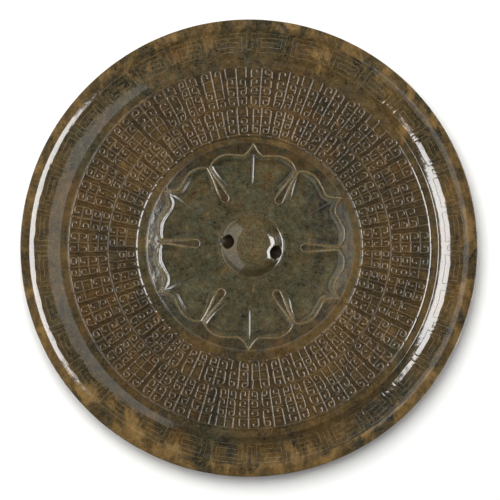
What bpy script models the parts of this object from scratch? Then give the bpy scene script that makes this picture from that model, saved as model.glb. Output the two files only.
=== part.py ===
"""Jade mirror: a carved nephrite disc with a hollow rim, two bands of scrolls, a flower and a pierced boss.

Metres, +Z up. The disc lies on its flat polished face, with its centre on the Z axis, and its carved
back looks up. It is built from the centre outwards: each zone has a width of its own, and the disc's
radius is their sum. Angles run anticlockwise from +Y, seen from above.
"""
import math

import bmesh
import bpy
from mathutils import Matrix, Vector

MM = 0.001
NAME = "mirror_disc"

# Heights above the polished face
RING_HEIGHT = 10.0 * MM
WELL_DEPTH = 2.4 * MM
FIELD_RISE = 0.6 * MM
LIP_BELOW_RING = 1.3 * MM
EDGE_BEVEL = 0.8 * MM

# Boss: a cushion with a narrow hollow foot, and two bores that slant in from its sides and meet
BOSS_RADIUS = 13.0 * MM
BOSS_HEIGHT = 5.0 * MM
BOSS_FOOT_WIDTH = 0.8 * MM
BOSS_POWER = 2.8
BOSS_LOOPS = (1.0, 0.87, 0.7, 0.5, 0.22)
BOSS_OFFSET = Vector((1.0 * MM, 0.9 * MM, 0.0))
BOSS_SIDES = 36
CORD_BORE = 5.5 * MM
CORD_MOUTH_INSET = 2.9 * MM
CORD_UNDER_WALL = 2.7 * MM
CORD_TURN = math.radians(-12.6)
CORD_SIDES = 14

# Flower: petals that lie in a shallow round well
PETALS = 6
FLOWER_TURN = math.radians(-1.7)
FLOWER_LENGTH = 27.5 * MM
WELL_WALL = 10.8 * MM
WELL_HOLLOWNESS = 1.3
PETAL_LIP_WIDTH = 2.5 * MM
PETAL_LIP_TOP = (0.24, 0.6)
PETAL_LIP_RISE = 0.4 * MM
VEIN_LENGTH = 17.0 * MM
VEIN_WIDTH = 1.9 * MM
VEIN_TAPER = 0.6
VEIN_FADE = 0.33
VEIN_RISE = 0.5 * MM
DROP_LENGTH = 13.9 * MM
DROP_WIDTH = 3.4 * MM
DROP_NECK = 1.5 * MM
DROP_RISE = 0.6 * MM
DROP_FLANK = 0.45 * MM
# A petal's outline, as millimetres inside the well's edge from the tip (0) to the notch beside it (1)
PETAL_OUTLINE = (
    (0.0, 0.4), (0.09, 2.8), (0.2, 4.1), (0.38, 3.6), (0.62, 2.6), (0.82, 3.4), (0.94, 5.0), (1.0, 6.2))
LEAF_STEPS = 6

# Plain rings and the two bands of scrolls between them
INNER_RING = 3.1 * MM
OUTER_RING = 2.5 * MM
FIELD_WALL = 0.7 * MM
INNER_ROWS = 3
INNER_ROW = 3.7 * MM
INNER_PITCH = 8.7 * MM
OUTER_ROWS = 4
OUTER_ROW = 3.85 * MM
OUTER_PITCH = 9.25 * MM
GROOVE_WIDTH = 0.9 * MM
GROOVE_DEPTH = 0.7 * MM
DIVIDING_LINE = 0.4 * MM

# Rim: a hollow channel and a narrow lip
CHANNEL_WIDTH = 12.1 * MM
CHANNEL_SAG = 1.8 * MM
CHANNEL_STEPS = 6
RIM_LIP = 3.5 * MM
RIM_SIDES = 72

JADE = (0.075, 0.063, 0.036, 1.0)
JADE_ROUGHNESS = 0.12

# Levels and radii that follow
FLOOR = RING_HEIGHT - WELL_DEPTH
FIELD = RING_HEIGHT + FIELD_RISE
LIP_HEIGHT = RING_HEIGHT - LIP_BELOW_RING
WELL_RADIUS = BOSS_RADIUS + FLOWER_LENGTH
INNER_FIELD = WELL_RADIUS + INNER_RING
DIVIDE = INNER_FIELD + FIELD_WALL + INNER_ROWS * INNER_ROW
OUTER_FIELD = DIVIDE + DIVIDING_LINE + OUTER_ROWS * OUTER_ROW + FIELD_WALL
CHANNEL_RADIUS = OUTER_FIELD + OUTER_RING
LIP_RADIUS = CHANNEL_RADIUS + CHANNEL_WIDTH
DISC_RADIUS = LIP_RADIUS + RIM_LIP


# Loops of vertices and the faces between them


def point(radius, angle, height):
    return Vector((-radius * math.sin(angle), radius * math.cos(angle), height))


def add_loop(bm, points):
    """A closed loop of vertices, anticlockwise seen from above."""
    return [bm.verts.new(p) for p in points]


def add_circle(bm, radius, height, sides):
    return add_loop(bm, [point(radius, 2 * math.pi * i / sides, height) for i in range(sides)])


def join_loops(bm, outer, inner):
    """Faces between two loops: quads where the counts agree, else triangles."""
    if len(outer) == len(inner):
        for i, corner in enumerate(outer):
            after = (i + 1) % len(outer)
            bm.faces.new((corner, outer[after], inner[after], inner[i]))
        return
    i = 0
    j = 0
    while i < len(outer) or j < len(inner):
        corner = outer[i % len(outer)]
        facing = inner[j % len(inner)]
        if j == len(inner) or (i < len(outer) and (i + 1) * len(inner) <= (j + 1) * len(outer)):
            i += 1
            bm.faces.new((corner, outer[i % len(outer)], facing))
        else:
            j += 1
            bm.faces.new((corner, inner[j % len(inner)], facing))


def join_all(bm, loops):
    for outer, inner in zip(loops, loops[1:]):
        join_loops(bm, outer, inner)


# Rim


def channel_arc():
    """Radius and height along the channel's circular hollow, from the lip's crease inwards."""
    start = Vector((LIP_RADIUS, LIP_HEIGHT))
    chord = Vector((CHANNEL_RADIUS, RING_HEIGHT)) - start
    half = chord.length / 2
    along = chord.normalized()
    down = Vector((-along.y, along.x))
    radius = (half ** 2 + CHANNEL_SAG ** 2) / (2 * CHANNEL_SAG)
    reach = math.asin(half / radius)
    arc = []
    for i in range(CHANNEL_STEPS + 1):
        turn = reach * (2 * i / CHANNEL_STEPS - 1)
        drop = radius * math.cos(turn) - (radius - CHANNEL_SAG)
        arc.append(start + chord / 2 + along * radius * math.sin(turn) + down * drop)
    return arc


def add_rim(bm):
    """The polished face, the outer wall, the lip and the channel, as loops from the face up and in."""
    bevel = min(EDGE_BEVEL, RIM_LIP / 2, LIP_HEIGHT / 3)
    wall = (
        (DISC_RADIUS - bevel, 0.0),
        (DISC_RADIUS, bevel),
        (DISC_RADIUS, LIP_HEIGHT - bevel),
        (DISC_RADIUS - bevel, LIP_HEIGHT),
    )
    loops = [add_circle(bm, radius, height, RIM_SIDES) for radius, height in wall]
    loops += [add_circle(bm, spot.x, spot.y, RIM_SIDES) for spot in channel_arc()]
    bm.faces.new(reversed(loops[0]))
    return loops


# Bands of scrolls


def add_pad_loop(bm, radius, groups, height):
    """A loop round a band: the bottom of each radial groove, then both edges of the pad after it."""
    pitch = 2 * math.pi / groups
    edge = GROOVE_WIDTH / 2 / radius
    points = []
    for i in range(groups):
        points.append(point(radius, i * pitch, FIELD - GROOVE_DEPTH))
        points.append(point(radius, i * pitch + edge, height))
        points.append(point(radius, (i + 1) * pitch - edge, height))
    return add_loop(bm, points)


def add_band(bm, border, rows, row_width, pitch, outwards):
    """A band's loops, from the wall at its border to the line at its far side, grooved between rows."""
    groups = round(2 * math.pi * (border + outwards * rows * row_width / 2) / pitch)
    half = outwards * GROOVE_WIDTH / 2
    low = FIELD - GROOVE_DEPTH
    loops = [add_circle(bm, border - outwards * FIELD_WALL, RING_HEIGHT, 3 * groups)]
    for row in range(rows):
        near = border + outwards * row * row_width
        far = near + outwards * row_width
        loops.append(add_pad_loop(bm, near + half if row else near, groups, FIELD))
        loops.append(add_pad_loop(bm, far - half, groups, FIELD))
        loops.append(add_pad_loop(bm, far, groups, low))
    return loops


def add_field(bm):
    """The outer band of scrolls, then the inner one, with the dividing line's flat floor between."""
    outer = add_band(bm, OUTER_FIELD - FIELD_WALL, OUTER_ROWS, OUTER_ROW, OUTER_PITCH, outwards=-1)
    inner = add_band(bm, INNER_FIELD + FIELD_WALL, INNER_ROWS, INNER_ROW, INNER_PITCH, outwards=1)
    return outer + inner[::-1]


# Flower


def through(knots, x):
    """The value at x on a smooth curve through knots of (x, value)."""
    last = len(knots) - 1
    i = max(k for k in range(last) if k == 0 or knots[k][0] <= x)
    before, here, after, beyond = (knots[min(max(k, 0), last)] for k in (i - 1, i, i + 1, i + 2))
    step = after[0] - here[0]
    leave = step * (after[1] - before[1]) / (after[0] - before[0])
    arrive = step * (beyond[1] - here[1]) / (beyond[0] - here[0])
    t = (x - here[0]) / step
    rise = (after[1] - here[1]) * (3 * t ** 2 - 2 * t ** 3)
    return here[1] + rise + leave * (t - 2 * t ** 2 + t ** 3) + arrive * (t ** 3 - t ** 2)


def outline(share):
    """The radius of a petal's outline at a share of the angle from its tip to the notch beside it."""
    return WELL_RADIUS - through(PETAL_OUTLINE, share) * MM


def well_height(radius):
    """The height of the well's hollow wall, and of its floor further in."""
    climb = max(0.0, 1 - (WELL_RADIUS - radius) / WELL_WALL)
    return FLOOR + WELL_DEPTH * climb ** WELL_HOLLOWNESS


def vein_half_width(radius):
    """Half the width of a petal's rib, which tapers inwards from the tip."""
    along = min(1.0, (WELL_RADIUS - radius) / VEIN_LENGTH)
    return VEIN_WIDTH / 2 * (1 - VEIN_TAPER * along)


def drop_half_width(radius):
    """Half the width of the teardrop between two petals: a narrow neck, then a round end."""
    notch = outline(1.0)
    bulb = DROP_WIDTH / 2
    centre = notch - DROP_LENGTH + bulb
    if radius <= centre:
        return math.sqrt(max(0.0, bulb ** 2 - (centre - radius) ** 2))
    share = min(1.0, (radius - centre) / (notch - centre))
    return bulb + (DROP_NECK / 2 - bulb) * (1 - (1 - share) ** 2)


def column_angles(radius):
    """Angles from a petal's axis to the middle of the drop: rib, leaf, the drop's flank and top."""
    half = math.pi / PETALS
    rib = vein_half_width(radius) / radius
    top = max(drop_half_width(radius), DROP_FLANK) / radius
    foot = half - top - DROP_FLANK / radius
    leaf = [rib + (foot - rib) * i / LEAF_STEPS for i in range(LEAF_STEPS + 1)]
    return [0.0] + leaf + [half - top, half]


def petal_height(radius, column, lip):
    """The height of a column's point: the well, with the lip, the rib or the drop standing on it."""
    rise = lip
    along = (WELL_RADIUS - radius) / VEIN_LENGTH
    if column == 0 and radius < outline(0.0) and along < 1:
        rise = max(rise, VEIN_RISE * min(1.0, (1 - along) / VEIN_FADE))
    notch = outline(1.0)
    if column > LEAF_STEPS + 1 and notch - DROP_LENGTH < radius < notch:
        rise = max(rise, DROP_RISE)
    return well_height(radius) + rise


def add_petal_loop(bm, radius_at, lip=0.0):
    """A loop round the flower, at a radius that depends on the share from petal tip to notch."""
    half = math.pi / PETALS
    columns = []
    for column, guess in enumerate(column_angles(outline(1.0))):
        radius = radius_at(guess / half)
        angle = column_angles(radius)[column]
        columns.append((radius, angle, petal_height(radius, column, lip)))
    mirrored = [(radius, 2 * half - angle, height) for radius, angle, height in reversed(columns[1:-1])]
    points = []
    for petal in range(PETALS):
        turn = FLOWER_TURN + 2 * half * petal
        points += [point(radius, turn + angle, height) for radius, angle, height in columns + mirrored]
    return add_loop(bm, points)


def add_flower(bm):
    """The well's edge and wall, the petals' outlines and lips, then circles in over the drops."""
    bulb = DROP_WIDTH / 2
    end = outline(1.0) - DROP_LENGTH
    leaf = (outline(1.0) - PETAL_LIP_WIDTH + end + 2 * bulb) / 2
    lip_outer, lip_inner = (PETAL_LIP_WIDTH * share for share in PETAL_LIP_TOP)
    loops = [
        add_petal_loop(bm, lambda share: WELL_RADIUS),
        add_petal_loop(bm, lambda share: (WELL_RADIUS + outline(share)) / 2),
        add_petal_loop(bm, outline),
        add_petal_loop(bm, lambda share: outline(share) - lip_outer, PETAL_LIP_RISE),
        add_petal_loop(bm, lambda share: outline(share) - lip_inner, PETAL_LIP_RISE),
        add_petal_loop(bm, lambda share: outline(share) - PETAL_LIP_WIDTH),
    ]
    for circle in (leaf, end + 2 * bulb, end + bulb, end + bulb * 0.3, end - DROP_FLANK):
        loops.append(add_petal_loop(bm, lambda share, radius=circle: radius))
    return loops


# Boss and cord hole


def boss_profile(radius):
    """The boss's height above the floor: a cushion whose sides run into a hollow foot."""
    shoulder = BOSS_RADIUS - BOSS_FOOT_WIDTH
    slope = BOSS_POWER / shoulder
    cap = 2 * BOSS_HEIGHT / BOSS_FOOT_WIDTH / (slope + 2 / BOSS_FOOT_WIDTH)
    if radius <= shoulder:
        return BOSS_HEIGHT - cap * (radius / shoulder) ** BOSS_POWER
    return (BOSS_HEIGHT - cap) * ((BOSS_RADIUS - radius) / BOSS_FOOT_WIDTH) ** 2


def add_boss(bm):
    """Loops from the boss's foot in to its crown, which a single face closes."""
    shoulder = BOSS_RADIUS - BOSS_FOOT_WIDTH
    radii = [BOSS_RADIUS, BOSS_RADIUS - BOSS_FOOT_WIDTH / 2]
    radii += [shoulder * share for share in BOSS_LOOPS]
    loops = [add_circle(bm, radius, FLOOR + boss_profile(radius), BOSS_SIDES) for radius in radii]
    for loop in loops:
        bmesh.ops.translate(bm, verts=loop, vec=BOSS_OFFSET)
    bm.faces.new(loops[-1])
    return loops


def add_bore(material, side):
    """A cutter for one bore: it enters the boss's side and ends just past the middle."""
    mouth = BOSS_RADIUS - CORD_MOUTH_INSET
    outside = Vector((mouth, 0.0, FLOOR + boss_profile(mouth)))
    meeting = Vector((0.0, 0.0, CORD_UNDER_WALL + CORD_BORE / 2))
    axis = (outside - meeting).normalized()
    start = meeting - axis * CORD_BORE / 2
    finish = outside + axis * 2 * CORD_BORE
    mesh = bpy.data.meshes.new(f"bore_{side}")
    bm = bmesh.new()
    bmesh.ops.create_cone(
        bm, cap_ends=True, segments=CORD_SIDES, radius1=CORD_BORE / 2, radius2=CORD_BORE / 2,
        depth=(finish - start).length)
    place = Matrix.Translation((start + finish) / 2) @ axis.to_track_quat("Z", "Y").to_matrix().to_4x4()
    turn = Matrix.Rotation(CORD_TURN + math.pi * side, 4, "Z")
    bm.transform(Matrix.Translation(BOSS_OFFSET) @ turn @ place)
    bm.to_mesh(mesh)
    bm.free()
    mesh.materials.append(material)
    cutter = bpy.data.objects.new(f"bore_{side}", mesh)
    bpy.context.collection.objects.link(cutter)
    cutter.hide_render = True
    cutter.display_type = "WIRE"
    return cutter


# The disc


def jade_material():
    material = bpy.data.materials.new("nephrite jade")
    material.use_nodes = True
    shader = material.node_tree.nodes["Principled BSDF"]
    shader.inputs["Base Color"].default_value = JADE
    shader.inputs["Roughness"].default_value = JADE_ROUGHNESS
    shader.inputs["Metallic"].default_value = 0.0
    return material


def build_disc():
    material = jade_material()
    bm = bmesh.new()
    join_all(bm, add_rim(bm) + add_field(bm) + add_flower(bm) + add_boss(bm))
    bmesh.ops.recalc_face_normals(bm, faces=bm.faces)
    mesh = bpy.data.meshes.new(NAME)
    bm.to_mesh(mesh)
    bm.free()
    mesh.materials.append(material)
    mesh.shade_smooth()
    mesh.set_sharp_from_angle(angle=math.radians(25))
    disc = bpy.data.objects.new(NAME, mesh)
    bpy.context.collection.objects.link(disc)
    for side in range(2):
        cut = disc.modifiers.new(f"bore {side}", "BOOLEAN")
        cut.operation = "DIFFERENCE"
        cut.object = add_bore(material, side)


for old in list(bpy.data.objects):
    bpy.data.objects.remove(old, do_unlink=True)
build_disc()
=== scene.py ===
# %% [markdown]
# # A carved jade mirror
# The object is one disc of nephrite jade, cut in the form of a bronze mirror's back. A boss with
# a slanting cord hole stands in the middle of a six-petalled flower, two bands of small scrolls
# run round that, and a hollow channel with a fret of thin lines runs round the rim. The other
# side is the mirror's face, plain and polished.
# The solid model has the outline, the hollows and the raised parts in plain facets, and a plain
# pad for each group of scrolls. This script makes the same disc again with its fine cutting. The
# disc is made of rings that fit inside one another, because each ring then gets a mesh as fine
# as its own carving needs. It is still one stone to the eye: the rings meet where the carving
# has a crease or a crest, and they share one material.

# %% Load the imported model
import math

import bmesh
import bpy
import numpy as np
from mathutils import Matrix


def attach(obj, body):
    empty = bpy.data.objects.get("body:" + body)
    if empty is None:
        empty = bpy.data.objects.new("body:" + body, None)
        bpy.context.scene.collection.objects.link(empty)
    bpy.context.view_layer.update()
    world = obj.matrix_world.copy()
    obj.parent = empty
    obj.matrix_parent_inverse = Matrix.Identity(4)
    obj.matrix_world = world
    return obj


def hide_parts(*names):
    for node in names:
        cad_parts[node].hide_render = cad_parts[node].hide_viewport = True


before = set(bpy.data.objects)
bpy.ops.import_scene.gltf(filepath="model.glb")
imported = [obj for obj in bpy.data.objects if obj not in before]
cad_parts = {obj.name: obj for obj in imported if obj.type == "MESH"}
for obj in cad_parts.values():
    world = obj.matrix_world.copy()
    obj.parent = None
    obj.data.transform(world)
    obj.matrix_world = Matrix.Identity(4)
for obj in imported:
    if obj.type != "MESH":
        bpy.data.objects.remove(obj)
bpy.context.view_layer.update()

# %% [markdown]
# ## Sizes
# These are in millimetres. They are the solid's own to within 0.3 mm, and most of them exactly,
# because a fine ring has to lie where the plain one lies. Heights are over the polished face, on
# which the mirror lies. Turns run anticlockwise from the top of the disc, seen from above.

# %% Sizes of the disc, in mm
RING_HEIGHT = 10.0
FLOOR = 7.6
WELL_DEPTH = 2.4
FIELD = 10.6
LIP_HEIGHT = 8.7
EDGE_BEVEL = 0.8

DISC_RADIUS = 90.0
LIP_RADIUS = 86.5
CHANNEL_RADIUS = 74.4
CHANNEL_SAG = 1.8
OUTER_FIELD = 71.8
DIVIDE = 55.6
INNER_FIELD = 43.6
OUTER_WALL = 0.7
INNER_WALL = 0.82
WELL_RADIUS = 40.8

MM = 0.001
print("disc", 2 * DISC_RADIUS, "mm across, well", 2 * WELL_RADIUS, "mm across")

# %% Helpers for objects


def mesh_from(bm, name):
    """Turns a bmesh into a mesh."""
    mesh = bpy.data.meshes.new(name)
    bm.to_mesh(mesh)
    bm.free()
    return mesh


def put_in_scene(name, data):
    """Makes an object of a mesh, a light or a camera."""
    thing = bpy.data.objects.new(name, data)
    bpy.context.collection.objects.link(thing)
    return thing


# %% [markdown]
# ## Camera
# The mirror lies on a table and the camera looks straight down on it, as it does in the
# photograph. A long lens from well above keeps the edge of the disc from leaning outwards.

# %% Camera
PICTURE_WIDTH = 196.5
CAMERA_HEIGHT = 1400.0
MIDDLE_OF_VIEW = (0.35, -0.75)
SENSOR_WIDTH = 36.0

camera_data = bpy.data.cameras.new("camera")
camera_data.sensor_width = SENSOR_WIDTH
camera_data.lens = SENSOR_WIDTH * (CAMERA_HEIGHT - RING_HEIGHT) / PICTURE_WIDTH
camera_data.clip_end = 20.0
camera = put_in_scene("camera", camera_data)
camera.location = (MIDDLE_OF_VIEW[0] * MM, MIDDLE_OF_VIEW[1] * MM, CAMERA_HEIGHT * MM)
bpy.context.scene.camera = camera
print("lens", round(camera_data.lens), "mm")

# %% [markdown]
# ## Colours and nodes
# Colours are written as they look on a screen, in sRGB hex, and Blender wants them linear. One
# small function turns them. Another adds a node, gives it its settings and links it, so that a
# material can be read from top to bottom.

# %% Helpers for materials


def linear(hex_colour):
    """A linear colour with alpha from an sRGB hex colour."""
    parts = [int(hex_colour[i:i + 2], 16) / 255 for i in (1, 3, 5)]
    return [p / 12.92 if p <= 0.04045 else ((p + 0.055) / 1.055) ** 2.4 for p in parts] + [1.0]


def add_node(tree, kind, inputs=None, **settings):
    """Adds a node and gives its outputs. An input is a number, a colour, or a socket to link from."""
    node = tree.nodes.new("ShaderNode" + kind)
    for name, value in settings.items():
        setattr(node, name, value)
    for name, value in (inputs or {}).items():
        if isinstance(value, bpy.types.NodeSocket):
            tree.links.new(value, node.inputs[name])
        else:
            node.inputs[name].default_value = value
    return node.outputs


# %% [markdown]
# ## Floor and light
# The photograph has a white table that is lit past white, with a soft shadow below and to the
# right of the disc. The stone's gloss shows two lights. A bright softbox on the right draws the
# two long highlights along the channel. A tall dim wall on the left draws the grey bands
# beside them. A broad light above the top edge gives the shadow. That one and the fill light are
# kept out of reflections, because flat polished stone shows a dark ceiling in the photograph.

# %% Floor
floor_paper = bpy.data.materials.new("white table paper, matt")
floor_paper.use_nodes = True
paper_inputs = floor_paper.node_tree.nodes["Principled BSDF"].inputs
paper_inputs["Base Color"].default_value = linear("#f2f2f0")
paper_inputs["Roughness"].default_value = 0.9
paper_inputs["Specular IOR Level"].default_value = 0.2

floor_bm = bmesh.new()
bmesh.ops.create_grid(floor_bm, x_segments=1, y_segments=1, size=3.0)
floor_mesh = mesh_from(floor_bm, "table")
floor_mesh.materials.append(floor_paper)
table = put_in_scene("table", floor_mesh)

# %% Lights


def add_softbox(name, place, bearing, pitch, size, watts, in_reflections, on_surfaces):
    """An area light at a place in metres, on a bearing from the view's top, pitched from face down."""
    data = bpy.data.lights.new(name, "AREA")
    data.shape = "RECTANGLE"
    data.size, data.size_y = size
    data.energy = watts
    light = put_in_scene(name, data)
    light.location = place
    light.rotation_euler = (math.radians(pitch), 0.0, math.pi - math.radians(bearing))
    light.visible_glossy = in_reflections
    light.visible_diffuse = on_surfaces


add_softbox(
    "bright softbox on the right", (1.49, -0.05, 1.33), 93.0, 48.2, (1.72, 1.47), 93.0, True, False
)
add_softbox("dim wall on the left", (-1.5, -0.52, 1.6), 270.0, 90.0, (5.7, 3.1), 60.0, True, False)
add_softbox(
    "broad light above the top edge", (-0.2, 0.4, 0.89), 333.0, 27.0, (0.86, 0.86), 14.0, False, True
)
add_softbox("fill light overhead", (0.0, 0.0, 1.6), 0.0, 0.0, (2.6, 2.6), 9.0, False, True)

studio = bpy.data.worlds.new("dim studio")
bpy.context.scene.world = studio
studio.use_nodes = True
studio_inputs = studio.node_tree.nodes["Background"].inputs
studio_inputs["Color"].default_value = linear("#ffffff")
studio_inputs["Strength"].default_value = 0.10

bpy.context.scene.view_settings.view_transform = "Standard"

# %% [markdown]
# ## The stone
# Nephrite jade, sawn, carved with wheels and abrasive and then polished. It is a tough felt of
# fine fibres, so it takes a soft, slightly greasy gloss and not a hard glassy one. The fresh
# stone is grey-green. Iron has turned it olive and brown, rust and tan along the grain, which
# runs from the top of the disc to the bottom. Brown has settled in the hollows of the scrolls.
# Fine cuts and rubbed edges are paler than the polish round them, and duller.
# Each mesh carries painted layers, numbers at its vertices that say where that is: `fresh`,
# `rust`, `tan` and `slate` for patches of colour, with some slate as a painted reflection on the
# well's wall, `hollow` for brown and for painted shade in creases and on the well's wall, `pale`
# for cuts and edges and a painted highlight along the petals' outlines, and `carved` for stone
# that was only rubbed after the wheel.

# %% Clouds about 24 mm across, drawn out along the grain
stone = bpy.data.materials.new("nephrite jade, carved and polished")
stone.use_nodes = True
tree = stone.node_tree
shader = tree.nodes["Principled BSDF"]
place = add_node(tree, "TexCoord")["Object"]
in_mm = add_node(tree, "Mapping", {"Vector": place, "Scale": (1000, 1000, 1000)})[0]
grain = add_node(
    tree, "Mapping", {"Vector": in_mm, "Scale": (1.0, 0.6, 1.0), "Rotation": (0, 0, 0.1)}
)[0]
clouds = add_node(
    tree, "TexNoise",
    {"Vector": grain, "Scale": 1 / 24, "Detail": 4.0, "Roughness": 0.65, "Distortion": 0.5},
)
colour = add_node(tree, "ValToRGB", {"Fac": clouds["Fac"]})[0]
ramp = colour.node.color_ramp.elements
dark, light = ramp
dark.position, dark.color = 0.37, linear("#2b281a")
light.position, light.color = 0.65, linear("#5a4524")
ramp.new(0.51).color = linear("#42351e")

# %% Patches of colour, ragged where a painted layer meets a noise of about 7 mm
ragged = add_node(
    tree, "TexNoise",
    {"Vector": grain, "Scale": 1 / 7, "Detail": 6.0, "Roughness": 0.72, "Distortion": 0.6},
)
ragged_by = add_node(tree, "SeparateColor", {"Color": ragged["Color"]})
painted_on = {
    layer: add_node(tree, "Attribute", attribute_name=layer)["Fac"]
    for layer in ("fresh", "rust", "slate", "tan", "hollow", "pale", "carved")
}
PATCH_TINTS = (
    ("fresh", "#3c3926", "Green"), ("rust", "#50391b", "Red"), ("slate", "#2b2a22", "Blue"),
    ("tan", "#735a32", "Red"),
)
for layer, tint, channel in PATCH_TINTS:
    both = add_node(
        tree, "Math", {0: ragged_by[channel], 1: 3.2, 2: painted_on[layer]}, operation="MULTIPLY_ADD"
    )[0]
    share = add_node(
        tree, "MapRange", {"Value": both, "From Min": 1.88, "From Max": 2.62},
        interpolation_type="SMOOTHSTEP",
    )[0]
    colour = add_node(tree, "Mix", {0: share, 6: colour, 7: linear(tint)}, data_type="RGBA")[2]

# %% Flecks of 2 mm: ochre everywhere, and blue-grey where the stone is fresh
flecks = add_node(
    tree, "TexNoise", {"Vector": in_mm, "Scale": 1 / 2.2, "Detail": 5.0, "Roughness": 0.75}
)
flecks_by = add_node(tree, "SeparateColor", {"Color": flecks["Color"]})
ochre = add_node(
    tree, "MapRange", {"Value": flecks_by["Red"], "From Min": 0.47, "From Max": 0.66, "To Max": 0.5}
)[0]
with_ochre = add_node(tree, "Mix", {0: ochre, 6: colour, 7: linear("#625030")}, data_type="RGBA")[2]
blue_grey = add_node(
    tree, "MapRange",
    {"Value": flecks_by["Blue"], "From Min": 0.47, "From Max": 0.72, "To Max": painted_on["fresh"]},
)[0]
with_flecks = add_node(
    tree, "Mix", {0: blue_grey, 6: with_ochre, 7: linear("#464939")}, data_type="RGBA"
)[2]

# %% Mottle of 5 mm and finer, which the felted fibres give, stronger in the fresh stone
felt = add_node(
    tree, "TexNoise", {"Vector": in_mm, "Scale": 1 / 5, "Detail": 6.0, "Roughness": 0.85}
)["Fac"]
specks = add_node(
    tree, "TexNoise", {"Vector": in_mm, "Scale": 1 / 0.65, "Detail": 1.0, "Roughness": 0.6}
)["Fac"]
contrast = add_node(
    tree, "Math", {0: painted_on["fresh"], 1: 0.9, 2: 2.6}, operation="MULTIPLY_ADD"
)[0]
centred = add_node(tree, "Math", {0: felt, 1: 0.5}, operation="SUBTRACT")[0]
mottle = add_node(tree, "Math", {0: centred, 1: contrast, 2: 1.0}, operation="MULTIPLY_ADD")[0]
mottled = add_node(tree, "VectorMath", {0: with_flecks, "Scale": mottle}, operation="SCALE")[0]
grit = add_node(tree, "Math", {0: specks, 1: 0.05, 2: -0.026}, operation="MULTIPLY_ADD")[0]
flecked = add_node(tree, "VectorMath", {0: mottled, 1: grit}, operation="ADD")[0]

# %% Brown in the hollows, with painted shade in creases; pale cuts and edges, with a painted highlight on outlines
stained_and_shaded = add_node(
    tree, "Mix", {0: painted_on["hollow"], 6: flecked, 7: linear("#1a120a")}, data_type="RGBA"
)[2]
worn = add_node(
    tree, "MapRange", {"Value": specks, "From Min": 0.3, "From Max": 0.7, "To Min": 0.4, "To Max": 1.6}
)[0]
broken = add_node(tree, "Math", {0: painted_on["pale"], 1: worn}, operation="MULTIPLY")[0]
finished = add_node(tree, "Mix", {0: broken, 6: stained_and_shaded, 7: linear("#7a6846")}, data_type="RGBA")[2]
tree.links.new(finished, shader.inputs["Base Color"])

# %% Gloss: a greasy polish, duller where the stone was only rubbed
rubbed_dull = painted_on["carved"]
roughness = add_node(tree, "MapRange", {"Value": rubbed_dull, "To Min": 0.12, "To Max": 0.48})[0]
tree.links.new(roughness, shader.inputs["Roughness"])
sheen = add_node(tree, "MapRange", {"Value": rubbed_dull, "To Min": 0.5, "To Max": 0.03})[0]
tree.links.new(sheen, shader.inputs["Specular IOR Level"])
shader.inputs["IOR"].default_value = 1.62

# %% A hand-held lap leaves the surface wavy, which bends the highlights; carved parts keep marks
waves = add_node(
    tree, "TexNoise", {"Vector": in_mm, "Scale": 1 / 6, "Detail": 4.0, "Roughness": 0.5}
)["Fac"]
skin = add_node(tree, "Bump", {"Height": waves, "Strength": 1.0, "Distance": 0.00016})[0]
marks = add_node(
    tree, "Bump", {"Height": specks, "Strength": rubbed_dull, "Distance": 0.00012, "Normal": skin}
)[0]
tree.links.new(marks, shader.inputs["Normal"])
print("nodes in the stone:", len(tree.nodes))

# %% [markdown]
# ## Where the patches lie
# Noise alone wouldn't put the large patches in the right places: tan at the lower left of the
# rim, dark slate at the lower right, rust in tall streaks above and to the left of the flower.
# The flower's own grey-green is painted with the flower. Each patch here is a place in mm from
# the middle of the disc, its half-width, its half-height, and a strength. The place is bent by
# slow waves, so that no patch stays an oval, and the material frays its border.

# %% Patches of tan and rust
TAN = (
    (-47, -72, 9, 7, 1.0), (-36, -81, 8, 5, 1.0), (-63, -56, 5, 5, 0.9), (-20, -86, 5, 4, 0.7),
    (4, -84, 5, 5, 0.6), (18, -83, 5, 6, 0.7), (25, -80, 4, 7, 0.7), (30, 76, 4, 11, 0.8),
    (-18, 83, 8, 6, 0.6), (-40, 77, 6, 6, 0.7), (-48, 71, 5, 6, 0.7), (-57, 67, 5, 5, 0.5),
    (61, 46, 4, 4, 0.8), (50, 56, 3, 4, 0.5), (78, 46, 5, 6, 0.5), (53, 66, 6, 3, 0.5),
    (87, -14, 3, 7, 0.8), (-69, 56, 3, 5, 0.5), (-78, 42, 3, 6, 0.5), (40, -8, 3, 5, 0.6),
    (-15, 21, 4, 6, 0.4), (22, 18, 3, 6, 0.3), (34, -34, 5, 5, 0.5), (46, -25, 5, 5, 0.3),
    (13, -42, 4, 5, 0.4), (-55, -64, 4, 5, 0.6), (-2, 60, 4, 8, 0.3), (42, -8, 2, 5, 0.7),
    (-24, -20, 4, 5, 0.3), (-8, -73, 6, 3, 0.4), (10, -74, 6, 3, 0.4),
)
RUST = (
    (-20, 50, 7, 13, 0.8), (20, 50, 8, 13, 0.9), (-62, 20, 9, 11, 0.7), (-66, 0, 7, 14, 0.7),
    (-60, -22, 9, 12, 0.8), (-45, -46, 10, 10, 0.7), (-25, -58, 8, 10, 0.6), (-5, -60, 9, 8, 0.6),
    (6, 62, 7, 7, 0.5), (-27, 75, 6, 7, 0.6), (-28, -77, 5, 4, 0.7), (-8, 17, 4, 4, 0.6),
    (-10, -13, 6, 3, 0.4), (-18, 40, 7, 5, 0.6), (-26, -14, 6, 6, 0.4), (12, -42, 4, 6, 0.9),
    (22, 79, 6, 8, 0.6), (25, 17, 4, 7, 0.5), (-56, -62, 6, 5, 0.6), (24, -78, 6, 7, 0.6),
    (60, 44, 6, 6, 0.6), (86, -16, 4, 8, 0.6), (78, 47, 6, 7, 0.5), (-15, -39, 5, 4, 0.5),
    (44, 0, 5, 10, 0.4), (50, -20, 8, 8, 0.4),
)
print(len(TAN), "tan and", len(RUST), "rust patches")
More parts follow.
